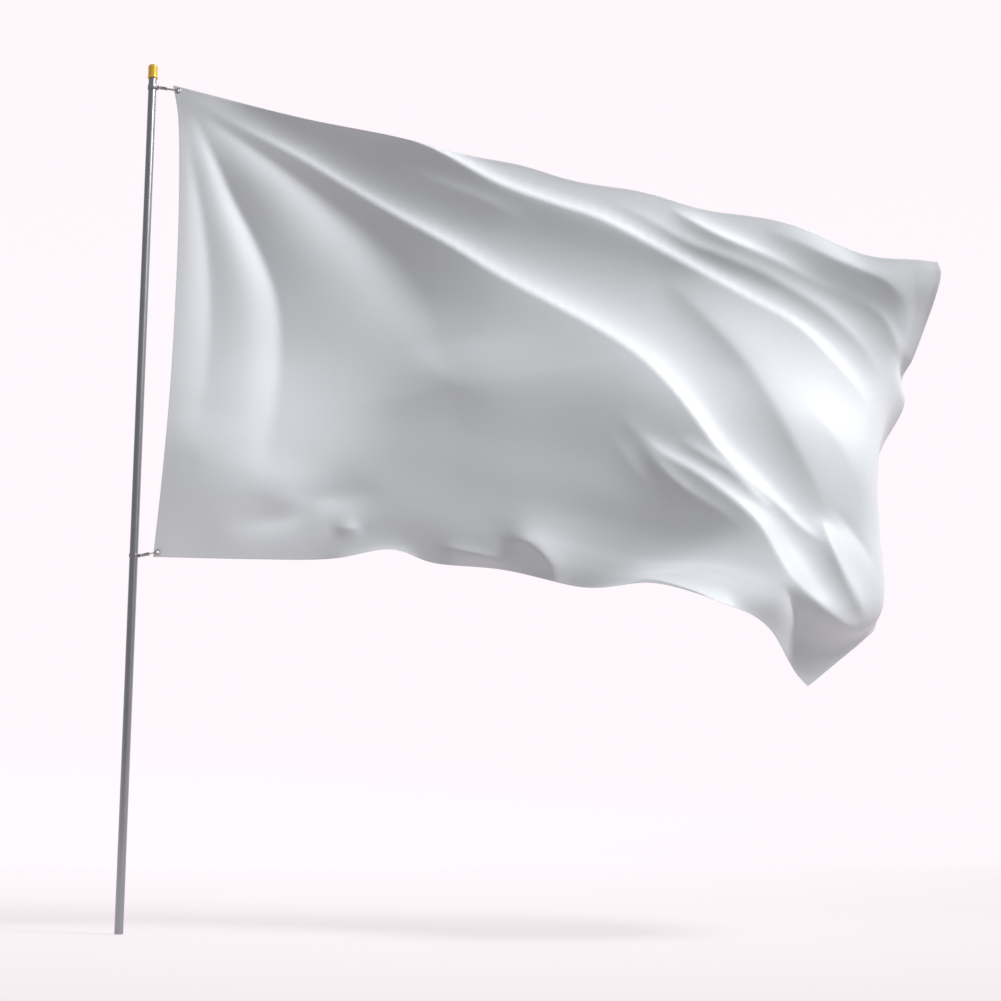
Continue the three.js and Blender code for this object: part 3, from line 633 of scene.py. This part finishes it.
points = middle.reshape(-1, 3).copy()
point_along = flat_along.ravel().copy()
point_down = flat_down.ravel().copy()
for start, _ in rim:
    distance = hole_distance(point_along[start], point_down[start])
    if distance < HOLE_EDGE_REACH:
        centre_name = "upper" if point_down[start] < FLAG_DROP / 2 else "lower"
        centre = np.array(eyelet_centres[centre_name])
        outward = points[start] - centre
        points[start] = centre + outward * HOLE_RADIUS / np.linalg.norm(outward)

to_edge = np.minimum(np.minimum(point_along, FLAG_LENGTH - point_along),
                     np.minimum(point_down, FLAG_DROP - point_down))
half = np.interp(to_edge, [0, RIM_WIDTH, HEM_WIDTH - HEM_STEP, HEM_WIDTH],
                 [HEM_EDGE_HALF, HEM_HALF, HEM_HALF, CLOTH_HALF])
flat_normals = normals.reshape(-1, 3)
front = points + flat_normals * half[:, None]
back = points - flat_normals * half[:, None]
count = len(points)
back_faces = [[d + count, c + count, b + count, a + count] for a, b, c, d in front_faces]
rim_faces = [[end, start, start + count, end + count] for start, end in rim]
used = np.zeros(count * 2, bool)
all_faces = front_faces + back_faces + rim_faces
used[np.array(all_faces).ravel()] = True
renumber = np.cumsum(used) - 1
vertices = np.concatenate([front, back])[used]
faces = renumber[np.array(all_faces)].tolist()
flag = link("flag", vertices, faces)
print("flag:", len(faces) * 2, "triangles")

# %% [markdown]
# Woven ribs follow the cloth round every fold. Coordinates of space would cut straight through
# the folds, so the flat cloth's own distances, in metres, are kept as a UV map for the weave.

# %% Flat cloth coordinates
flat_uv = np.stack([np.tile(point_along, 2), -np.tile(point_down, 2)], axis=-1)[used]
weave_map = flag.data.uv_layers.new(name="flat_cloth")
loop_vertices = np.empty(len(flag.data.loops), np.int32)
flag.data.loops.foreach_get("vertex_index", loop_vertices)
weave_map.data.foreach_set("uv", flat_uv[loop_vertices].astype(np.float32).ravel())
print("weave map for", len(loop_vertices), "corners of faces")

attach(flag, "root")
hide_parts("flag_cloth")

# %% [markdown]
# Satin is woven so that long threads lie side by side on the face. It scatters light softly but
# keeps a broad bright gloss. A mid roughness with a little sheen gives that, and the weave is
# a faint bump of fine ribs with slower slubs, which only shows close up.

# %% Satin
THREAD_SCALE = (1400, 90, 1)  # changes in a metre along the cloth, down it and through it
SLUB_SCALE = (30, 420, 1)
satin, satin_shader = new_material(
    "white satin", Roughness=0.42, Specular_IOR_Level=0.13, Sheen_Weight=0.12, Sheen_Roughness=0.4)
flat = coordinates(satin, "UV")
threads = flat.scaled(THREAD_SCALE).noise(1.0, 1.0)
slubs = flat.scaled(SLUB_SCALE).noise(1.0, 2.0)
clouding = flat.noise(3.0, 3.0)
tone = threads * 0.35 + slubs * 0.25 + clouding * 0.4
feed(satin, satin_shader,
     Base_Color=tone.ramp((0.3, 0), (0.7, 1)).between((0.585, 0.605, 0.630), (0.630, 0.650, 0.675)),
     Roughness=0.36 + clouding * 0.12,
     Normal=(threads * 0.6 + slubs * 0.4).bump(0.0001, 0.35))
flag.data.materials.append(satin)
print("satin on", flag.name)

# %% [markdown]
# The pole, cap, collars, hooks and eyelets are turned or bent metal. Each is drawn again over its
# solid with rounded edges, because a crisp highlight along an edge is what makes small metal
# parts read as real. A turned part is a profile swept round an axis, with its corners cut to arcs.

# %% Turned metal
CORNER_STEPS = 4
CUT_SHARE = 0.45  # of the shorter side at a corner, at most
AXIS = (0, 0, 1)


def rounded(rows, radius):
    """The closed profile with each corner swept to a small arc."""
    out = []
    for i, row in enumerate(rows):
        here = Vector(row)
        before = Vector(rows[i - 1]) - here
        after = Vector(rows[(i + 1) % len(rows)]) - here
        if here.x == 0:
            out.append(here)
            continue
        cut = min(radius, before.length * CUT_SHARE, after.length * CUT_SHARE)
        start = here + before.normalized() * cut
        end = here + after.normalized() * cut
        for k in range(CORNER_STEPS + 1):
            t = k / CORNER_STEPS
            out.append(start * (1 - t) ** 2 + here * 2 * t * (1 - t) + end * t**2)
    return out


def turned(name, rows, place, axis, sides, radius):
    """A profile of radius and height swept round an axis, its corners rounded by a radius."""
    profile = rounded(rows, radius)
    turn = Vector(AXIS).rotation_difference(Vector(axis))
    vertices = []
    first = []
    for point in profile:
        first.append(len(vertices))
        around = 1 if point.x == 0 else sides
        for k in range(around):
            angle = 2 * math.pi * k / sides
            local = Vector((point.x * math.cos(angle), point.x * math.sin(angle), point.y))
            vertices.append(Vector(place) + turn @ local)
    faces = []
    for i, point in enumerate(profile):
        j = (i + 1) % len(profile)
        other = profile[j]
        for k in range(sides):
            m = (k + 1) % sides
            a = first[i] + (k if point.x else 0)
            b = first[i] + (m if point.x else 0)
            c = first[j] + (m if other.x else 0)
            d = first[j] + (k if other.x else 0)
            ring = list(dict.fromkeys((a, b, c, d)))
            if len(ring) > 2:
                faces.append(ring)
    return link(name, vertices, faces)


def dress(piece, node, material):
    """Give a piece its finish and its place in the frame."""
    piece.data.materials.append(material)
    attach(piece, "root")
    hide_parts(node)
    print(piece.name, len(piece.data.polygons), "faces")


print("turning helpers ready")

# %% [markdown]
# Drawn tube is brushed along its length and dulled where hands hold it, plated fittings are
# brighter and blotchy, and the cap is a gold-coloured lacquer that is only half metal. An even
# colour would look like plastic, so noise varies each colour, and its roughness even more.

# %% Metals
BRUSH_SCALE = (2200, 2200, 14)  # changes in a metre, few of them along the pole
pole_metal, pole_shader = new_material(
    "satin pole metal", Metallic=1.0, Roughness=0.32, Base_Color=(0.42, 0.43, 0.45, 1))
along_pole = coordinates(pole_metal)
brushing = along_pole.scaled(BRUSH_SCALE).noise(1.0, 3.0)
handling = along_pole.noise(5.0, 4.0)
feed(pole_metal, pole_shader,
     Base_Color=(brushing * 0.5 + handling * 0.5).between((0.29, 0.30, 0.32), (0.41, 0.42, 0.44)),
     Roughness=0.24 + handling * 0.14 + brushing * 0.05,
     Normal=brushing.bump(0.00003, 0.5))

cap_metal, cap_shader = new_material(
    "gold-coloured cap", Metallic=0.6, Roughness=0.2, Base_Color=(0.90, 0.56, 0.13, 1))
on_cap = coordinates(cap_metal)
cap_wear = on_cap.noise(160.0, 4.0)
feed(cap_metal, cap_shader,
     Base_Color=cap_wear.between((0.95, 0.52, 0.07), (1.0, 0.66, 0.14)),
     Roughness=0.14 + cap_wear * 0.16,
     Normal=on_cap.noise(900.0, 2.0).bump(0.00002, 0.4))

hook_metal, hook_shader = new_material(
    "plated fittings", Metallic=1.0, Roughness=0.25, Base_Color=(0.46, 0.46, 0.47, 1))
on_hook = coordinates(hook_metal)
hook_wear = on_hook.noise(300.0, 4.0)
feed(hook_metal, hook_shader,
     Base_Color=hook_wear.between((0.28, 0.28, 0.29), (0.48, 0.48, 0.48)),
     Roughness=0.18 + hook_wear * 0.2,
     Normal=on_hook.noise(1500.0, 2.0).bump(0.00002, 0.4))
print("metals:", ", ".join(metal.name for metal in (pole_metal, cap_metal, hook_metal)))

# %% [markdown]
# The pole is a plain tube, and its cap is a short plug with a thicker rim at its foot and a domed
# top. Both are turned, so each is a profile, and the cap's has the socket that the pole stands in.

# %% Pole and cap
POLE_RADIUS = 0.0125
CAP_RIM_RADIUS = 0.0163
CAP_BODY_RADIUS = 0.0152
CAP_RIM_HEIGHT = 0.0035
CAP_NECK_HEIGHT = 0.0055
CAP_CHAMFER_WIDTH = 0.0008
CAP_CHAMFER_HEIGHT = 0.001
# The dome's steps, as distances in from the body's radius and down from the top
CAP_DOME = [(0, 0.008), (0.0015, 0.004), (0.005, 0.001)]
CAP_EASE = 0.0012
SEAT_GAP = 0.0003
POLE_EASE = 0.0006
SMOOTH_SIDES = 96
pole_low, pole_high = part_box("pole")
pole_height = pole_high[2] - pole_low[2]
pole = turned("pole_tube", [(0, 0), (POLE_RADIUS, 0), (POLE_RADIUS, pole_height), (0, pole_height)],
              (0, 0, pole_low[2]), AXIS, SMOOTH_SIDES, POLE_EASE)
dress(pole, "pole", pole_metal)

cap_low, cap_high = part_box("pole_cap")
cap_height = cap_high[2] - cap_low[2]
socket = POLE_RADIUS + SEAT_GAP
socket_top = pole_high[2] + SEAT_GAP - cap_low[2]
cap = turned("cap", [
    (socket, 0),
    (CAP_RIM_RADIUS - CAP_CHAMFER_WIDTH, 0),
    (CAP_RIM_RADIUS, CAP_CHAMFER_HEIGHT),
    (CAP_RIM_RADIUS, CAP_RIM_HEIGHT),
    (CAP_BODY_RADIUS, CAP_NECK_HEIGHT),
    *[(CAP_BODY_RADIUS - inward, cap_height - downward) for inward, downward in CAP_DOME],
    (0, cap_height),
    (0, socket_top),
    (socket, socket_top),
], (0, 0, cap_low[2]), AXIS, SMOOTH_SIDES, CAP_EASE)
dress(cap, "pole_cap", cap_metal)

# %% [markdown]
# An eyelet is two washers pressed round the cloth's hole, their rims rolled over. Its axis is the
# cloth's own direction at the corner, so it is read from the sheet that it clamps.

# %% Eyelets
EYELET_HOLE = 0.0045
EYELET_BARREL = 0.006
EYELET_FLANGE = 0.008
FLANGE_FOOT = 0.0013
FLANGE_FACE = 0.0022
FLANGE_LIP = 0.0002
FLANGE_ROLL = 0.0012
EYELET_SIDES = 48
EYELET_EASE = 0.0004
FRONT_ROWS = [
    (EYELET_BARREL, FLANGE_FOOT), (EYELET_FLANGE, FLANGE_FOOT),
    (EYELET_FLANGE, FLANGE_FOOT + FLANGE_LIP), (EYELET_FLANGE - FLANGE_ROLL, FLANGE_FACE),
    (EYELET_HOLE, FLANGE_FACE),
]
BACK_ROWS = [(radius, -height) for radius, height in reversed(FRONT_ROWS)]
facings = {}
for name, eyelet_down in EYELETS.items():
    row = int(np.argmin(np.abs(down_lines - eyelet_down)))
    column = int(np.argmin(np.abs(along_lines - EYELET_INSET)))
    facings[name] = Vector(normals[row, column])
    eyelet = turned(f"ring_{name}", BACK_ROWS + FRONT_ROWS, eyelet_centres[name], facings[name],
                    EYELET_SIDES, EYELET_EASE)
    dress(eyelet, f"eyelet_{name}", hook_metal)

# %% [markdown]
# A collar is a band bent round the pole with a lug on the flag's side. A lug joined on with a
# Boolean would leave ragged faces in the corner, so the whole outline is drawn once and raised to
# the collar's height, and a bevel rounds the edges.

# %% Collars
COLLAR_WALL = 0.0018
LUG_LENGTH = 0.006
LUG_WIDTH = 0.005
LUG_SEAM = 0.0001  # half the short inner side that lies behind the lug
BAND_STEPS = 72
COLLAR_EASE = 0.0005
inner = POLE_RADIUS + SEAT_GAP
outer = inner + COLLAR_WALL
lug_angle = math.asin(LUG_WIDTH / 2 / outer)
angles = np.linspace(lug_angle, 2 * math.pi - lug_angle, BAND_STEPS)
outside = [(outer + LUG_LENGTH, -LUG_WIDTH / 2), (outer + LUG_LENGTH, LUG_WIDTH / 2)]
outside += [(outer * math.cos(t), outer * math.sin(t)) for t in angles]
inside = [(inner, -LUG_SEAM), (inner, LUG_SEAM)]
inside += [(inner * math.cos(t), inner * math.sin(t)) for t in angles]
ring_count = len(outside)
low_out, low_in, high_out, high_in = (ring_count * ring for ring in range(4))
for name in EYELETS:
    low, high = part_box(f"collar_{name}")
    collar_vertices = [(x, y, z) for z in (low[2], high[2]) for ring in (outside, inside) for x, y in ring]
    collar_faces = []
    for k in range(ring_count):
        m = (k + 1) % ring_count
        collar_faces.append([low_out + k, low_out + m, high_out + m, high_out + k])
        collar_faces.append([low_in + m, low_in + k, high_in + k, high_in + m])
        collar_faces.append([high_out + k, high_out + m, high_in + m, high_in + k])
        collar_faces.append([low_out + m, low_out + k, low_in + k, low_in + m])
    collar = link(f"band_{name}", collar_vertices, collar_faces, smooth=False)
    bevel = collar.modifiers.new("rounded edges", "BEVEL")
    bevel.width = COLLAR_EASE
    bevel.segments = 2
    bevel.limit_method = "ANGLE"
    collar.data.shade_smooth()
    dress(collar, f"collar_{name}", hook_metal)

# %% [markdown]
# A snap hook is a turned swivel barrel with a bent wire that goes through the eyelet and back. The
# wire could be swept by hand like the barrel, but a curve with a round bevel takes its bends with
# no twist, and it is turned into a mesh so that it exports as one.

# %% Hooks
BARREL_LENGTH = 0.027
BARREL_RADIUS = 0.0052
BARREL_CHAMFER = 0.001
BARREL_END_STEP = 0.0007
NECK_RADIUS = 0.0026
NECK_LENGTH = 0.002
# The groove round the barrel
GROOVE_START = 0.0075
GROOVE_END = 0.0095
GROOVE_SLOPE = 0.0005
GROOVE_DEPTH = 0.0004
BARREL_SIDES = 40
BARREL_EASE = 0.0003
BARREL_ROWS = [
    (0, 0), (NECK_RADIUS, 0), (NECK_RADIUS, NECK_LENGTH), (BARREL_RADIUS, NECK_LENGTH + BARREL_CHAMFER),
    (BARREL_RADIUS, GROOVE_START), (BARREL_RADIUS - GROOVE_DEPTH, GROOVE_START + GROOVE_SLOPE),
    (BARREL_RADIUS - GROOVE_DEPTH, GROOVE_END - GROOVE_SLOPE), (BARREL_RADIUS, GROOVE_END),
    (BARREL_RADIUS, BARREL_LENGTH - BARREL_CHAMFER),
    (BARREL_RADIUS - BARREL_END_STEP, BARREL_LENGTH), (0, BARREL_LENGTH),
]
WIRE_RADIUS = 0.0015
WIRE_BEND_RADIUS = 0.005
APEX_SETBACK = 0.0014
LEG_AT_BARREL = 0.0028
LEG_STRAIGHT = 0.002
BEND_STEPS = 8


def bent_wire(name, points, radius):
    """A round wire that follows the points smoothly, as a mesh."""
    curve = bpy.data.curves.new(name, "CURVE")
    curve.dimensions = "3D"
    curve.bevel_depth = radius
    curve.bevel_resolution = 4
    curve.use_fill_caps = True
    spline = curve.splines.new("NURBS")
    spline.points.add(len(points) - 1)
    for point, place in zip(spline.points, points):
        point.co = (*place, 1)
    spline.use_endpoint_u = True
    spline.order_u = 3
    spline.resolution_u = 6
    holder = bpy.data.objects.new(name, curve)
    bpy.context.scene.collection.objects.link(holder)
    mesh = bpy.data.meshes.new_from_object(holder.evaluated_get(bpy.context.evaluated_depsgraph_get()))
    bpy.data.objects.remove(holder)
    mesh.shade_smooth()
    made = bpy.data.objects.new(name, mesh)
    bpy.context.scene.collection.objects.link(made)
    return made


for name in EYELETS:
    centre = eyelet_centres[name]
    low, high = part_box(f"collar_{name}")
    lug = Vector((high[0], 0, (low[2] + high[2]) / 2))
    direction = (centre - lug).normalized()
    barrel_start = lug + direction * SEAT_GAP * 2
    barrel = turned(f"swivel_{name}", BARREL_ROWS, barrel_start, direction, BARREL_SIDES, BARREL_EASE)
    dress(barrel, f"hook_barrel_{name}", hook_metal)

    barrel_end = barrel_start + direction * BARREL_LENGTH
    sideways = facings[name] - direction * facings[name].dot(direction)
    sideways.normalize()
    bend_centre = centre - direction * (APEX_SETBACK + WIRE_BEND_RADIUS)
    start = barrel_end + direction * SEAT_GAP
    leg = direction * LEG_STRAIGHT
    way = [start + sideways * LEG_AT_BARREL, start + leg + sideways * LEG_AT_BARREL]
    for k in range(BEND_STEPS + 1):
        angle = math.pi * (0.5 - k / BEND_STEPS)
        way.append(bend_centre + direction * WIRE_BEND_RADIUS * math.cos(angle)
                   + sideways * WIRE_BEND_RADIUS * math.sin(angle))
    way += [start + leg - sideways * LEG_AT_BARREL, start - sideways * LEG_AT_BARREL]
    wire = bent_wire(f"bent_wire_{name}", way, WIRE_RADIUS)
    dress(wire, f"hook_wire_{name}", hook_metal)

# %% [markdown]
# A studio flag is photographed before paper that sweeps up from the floor without a corner. A
# plane and a wall would show their edge as a horizon line behind the flag, so the stage is one
# surface with a curve. Its own colour is dark. A painted glow makes it pale: the glow grows with
# distance and fades to the front, stands in for light on the paper, washes out the flag's
# shadow on the floor and lights the cloth from below.

# %% Floor and backdrop
# Places on the ramp of the glow, for each metre behind the pole and at the pole
GLOW_PER_METRE = 0.1
GLOW_AT_POLE = 0.4
GLOW_STOPS = (0.0, 0.1), (0.25, 0.76), (0.5, 0.8), (0.9, 1.0)
# Painted light: the paper's own colour is dark, and its paleness is an emission glow ramped by depth.
stage_material, stage_shader = new_material(
    "paper with painted glow", Roughness=0.9, Specular_IOR_Level=0.1, Base_Color=(0.80, 0.76, 0.78, 1),
    Emission_Strength=1.0)
paper = coordinates(stage_material)
paper_depth = paper.out(paper.node("ShaderNodeSeparateXYZ", {}, Vector=paper), "Y")
glow = (paper_depth * GLOW_PER_METRE + GLOW_AT_POLE).ramp(*GLOW_STOPS)
feed(stage_material, stage_shader,
     Base_Color=paper.noise(0.4, 2.0).between((0.155, 0.145, 0.15), (0.165, 0.155, 0.16)),
     Emission_Color=glow.between((0.0, 0.0, 0.0), (0.93, 0.86, 0.89)))
STAGE_WIDTH = 30
BACK_DISTANCE = 7.0
CURVE_RADIUS = 3.0
WALL_HEIGHT = 14
FRONT_REACH = -14
FLOOR_GAP = 0.001
STAGE_STEPS = 24
profile = [(FRONT_REACH, 0)]
for k in range(STAGE_STEPS + 1):
    angle = math.pi / 2 * k / STAGE_STEPS
    profile.append((BACK_DISTANCE - CURVE_RADIUS + CURVE_RADIUS * math.sin(angle),
                    CURVE_RADIUS - CURVE_RADIUS * math.cos(angle)))
profile.append((BACK_DISTANCE, WALL_HEIGHT))
stage_vertices = [(x, y, z - FLOOR_GAP) for x in (-STAGE_WIDTH / 2, STAGE_WIDTH / 2) for y, z in profile]
across = len(profile)
stage_faces = [[k, k + across, k + across + 1, k + 1] for k in range(across - 1)]
backdrop = link("backdrop", stage_vertices, stage_faces)
backdrop.data.materials.append(stage_material)
print("backdrop:", len(stage_faces), "faces")

# %% [markdown]
# Light from the front would flatten the folds. So the key light is broad, high and to the right,
# only a little in front of the cloth, and grazes it: flanks turned to it go white and the cloth
# that faces the viewer stays grey. A round pole shows a light only as a line, and the key light
# is too high for it, so a tall weak strip of light to the camera's right draws that line.

# %% Lights
def area_light(name, shape, aim, direction, distance, power):
    """A light that looks at its aim from a direction, some metres away."""
    lamp = bpy.data.lights.new(name, "AREA")
    lamp.shape = shape
    lamp.energy = power
    holder = bpy.data.objects.new(name, lamp)
    holder.location = aim + direction * distance
    holder.rotation_euler = direction.to_track_quat("Z", "Y").to_euler()
    bpy.context.scene.collection.objects.link(holder)
    return lamp


KEY_AIM = Vector((1.2, -0.1, 1.7))
KEY_DIRECTION = Vector((0.60, -0.22, 0.77)).normalized()
KEY_DISTANCE = 9.0
KEY_SIZE = 3.0
KEY_SPREAD = math.radians(50)
KEY_POWER = 101
key = area_light("key", "DISK", KEY_AIM, KEY_DIRECTION, KEY_DISTANCE, KEY_POWER)
key.size = KEY_SIZE
key.spread = KEY_SPREAD

POLE_AIM = Vector((0, 0, 1.6))
STRIP_DIRECTION = Vector((0.78, -0.62, 0.12)).normalized()
STRIP_DISTANCE = 7.0
STRIP_WIDTH = 0.9
STRIP_HEIGHT = 7.0
STRIP_POWER = 22
strip = area_light("strip", "RECTANGLE", POLE_AIM, STRIP_DIRECTION, STRIP_DISTANCE, STRIP_POWER)
strip.size = STRIP_WIDTH
strip.size_y = STRIP_HEIGHT

WORLD_COLOUR = (0.97, 0.99, 1.0, 1)
WORLD_STRENGTH = 0.37
world = bpy.data.worlds.new("studio")
world.use_nodes = True
sky = world.node_tree.nodes["Background"]
sky.inputs["Color"].default_value = WORLD_COLOUR
sky.inputs["Strength"].default_value = WORLD_STRENGTH
bpy.context.scene.world = world
bpy.context.scene.view_settings.view_transform = "Standard"
print("key light of", KEY_POWER, "W and strip of", STRIP_POWER, "W")
